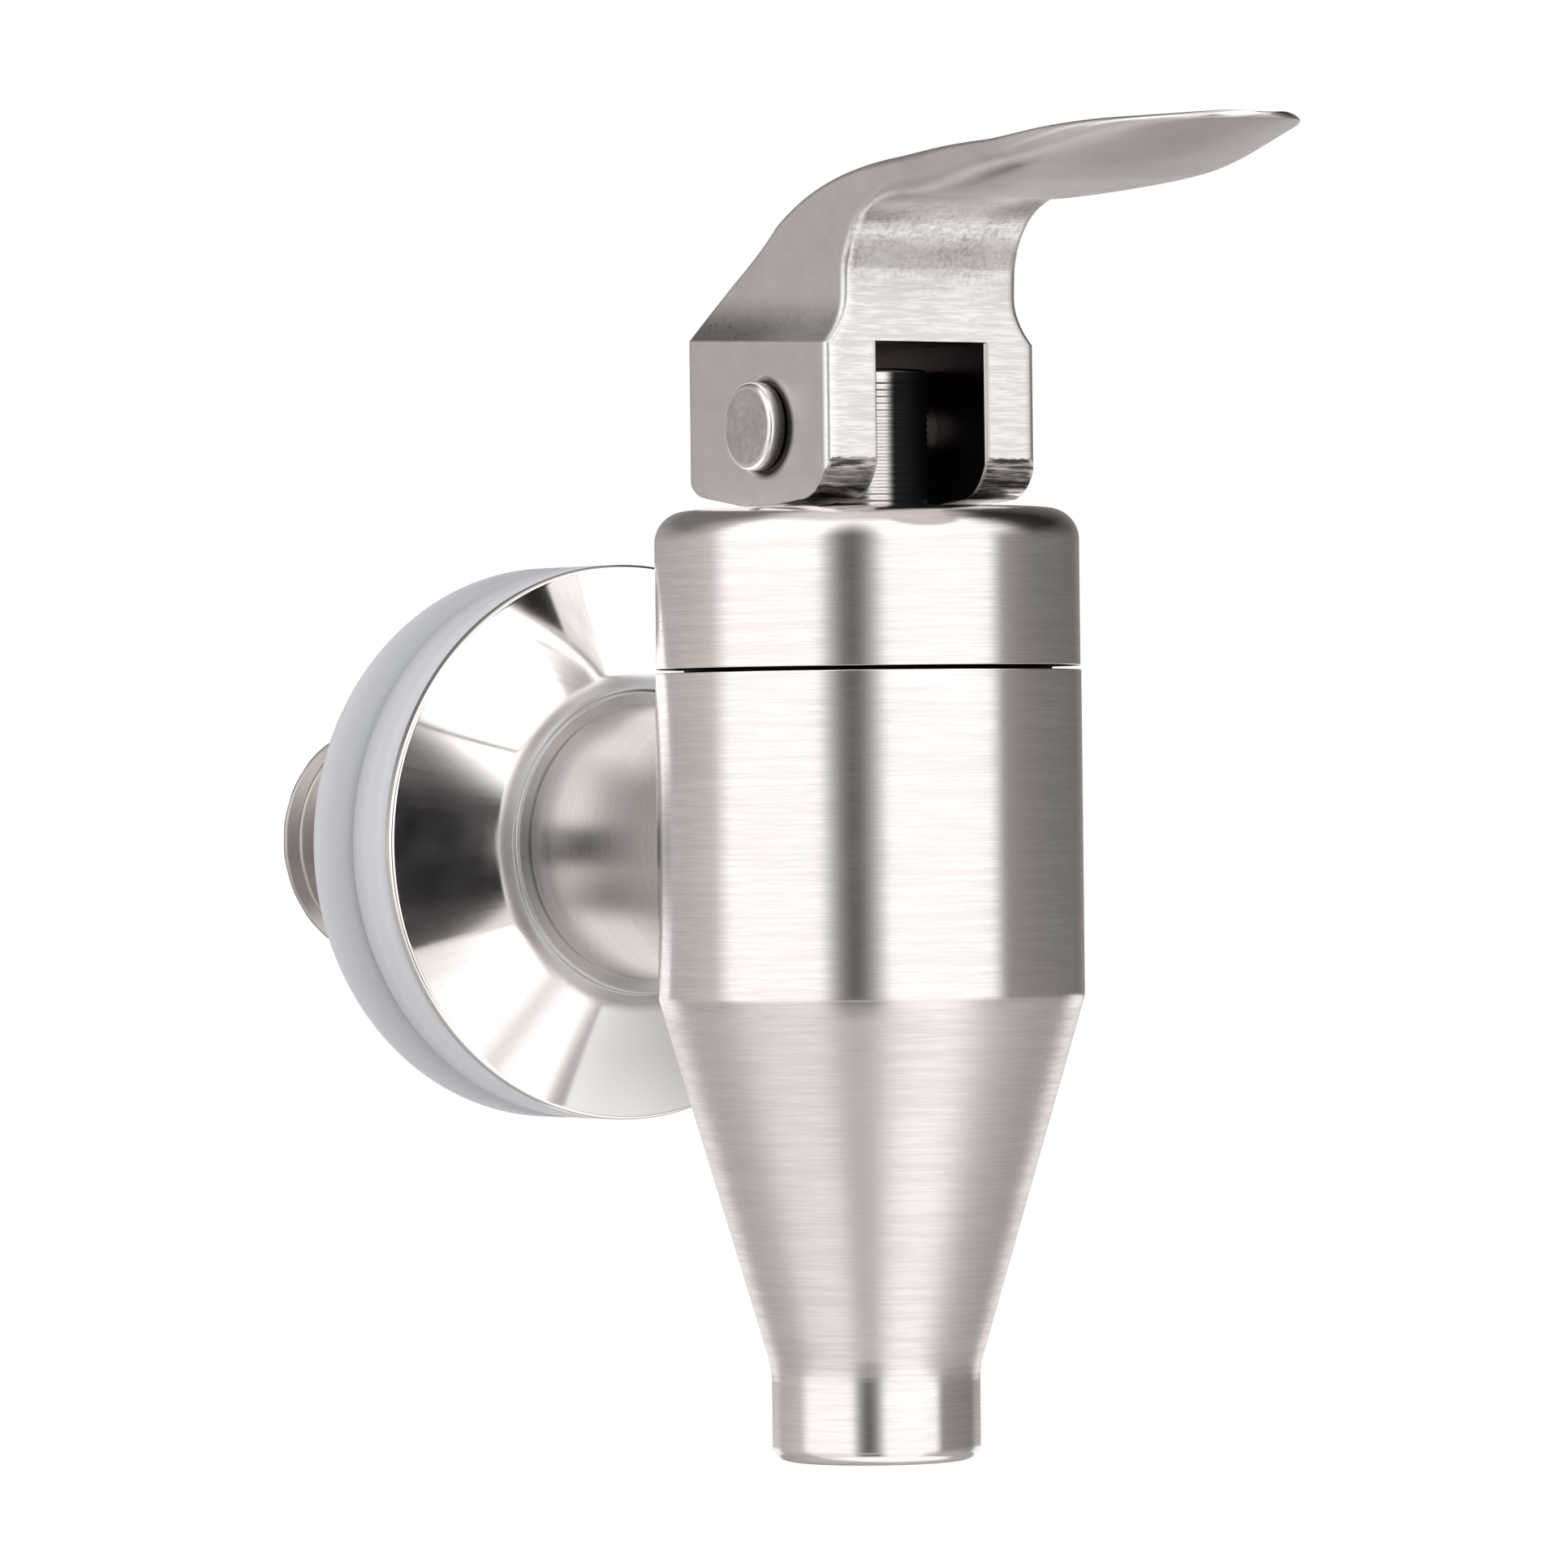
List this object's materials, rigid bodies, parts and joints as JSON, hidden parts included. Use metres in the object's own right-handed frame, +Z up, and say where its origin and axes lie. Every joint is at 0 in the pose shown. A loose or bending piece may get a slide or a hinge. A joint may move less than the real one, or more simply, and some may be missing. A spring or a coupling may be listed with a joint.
{
  "type": "water filter spigot",
  "caption": "Push-lever drawing spigot: turned valve body with cone spout, screw cap, sprung stem, cast thumb lever and a flanged threaded shank with silicone washers.",
  "frame": {"origin": "on the shank's axis, at the rear face of the front washer, where the outer face of the tank wall lies", "axes": "+Y along the shank, into the tank; +Z up, along the stem; the lever's paddle and the user are towards -Y; +X to the right of someone who looks along +Y"},
  "size_m": [0.0362, 0.1034, 0.0825],
  "materials": {
    "brushed_steel": "fine turned and brushed stainless steel",
    "turned_steel": "machined stainless steel",
    "polished_steel": "mirror-polished stainless steel",
    "cast_steel": "investment-cast and brushed stainless steel, polished at the paddle's rim",
    "spring_steel": "drawn stainless spring wire",
    "silicone": "translucent grey-blue silicone",
    "white_plastic": "plain white bearing plastic"
  },
  "bodies": {
    "housing": {"valve_body": "brushed_steel", "inlet_shank": "turned_steel", "flange": "polished_steel", "front_washer": "silicone", "rear_washer": "silicone", "lock_nut": "turned_steel", "bonnet_cap": "brushed_steel", "stem_bush": "white_plastic", "slip_ring": "white_plastic", "seat_cup": "silicone"},
    "stem": {"stem": "turned_steel", "stem_foot": "white_plastic", "return_spring": "spring_steel"},
    "lever": {"lever": "cast_steel", "pivot_pin": "turned_steel"}
  },
  "joints": [
    {"name": "stem_lift", "type": "slide", "parent": "housing", "child": "stem", "axis": [0, 0, 1], "range_m": [0, 0.0019], "stiffness_N_per_m": 120, "springref_m": -0.01, "deforming": ["return_spring", "seat_cup"]},
    {"name": "lever_press", "type": "hinge", "parent": "stem", "child": "lever", "pos_m": [0, -0.0341, 0.026], "axis": [1, 0, 0], "range_deg": [0, 24]}
  ],
  "couplings": [
    {"joint": "lever_press", "follows": "stem_lift", "rad_per_m": 220}
  ]
}
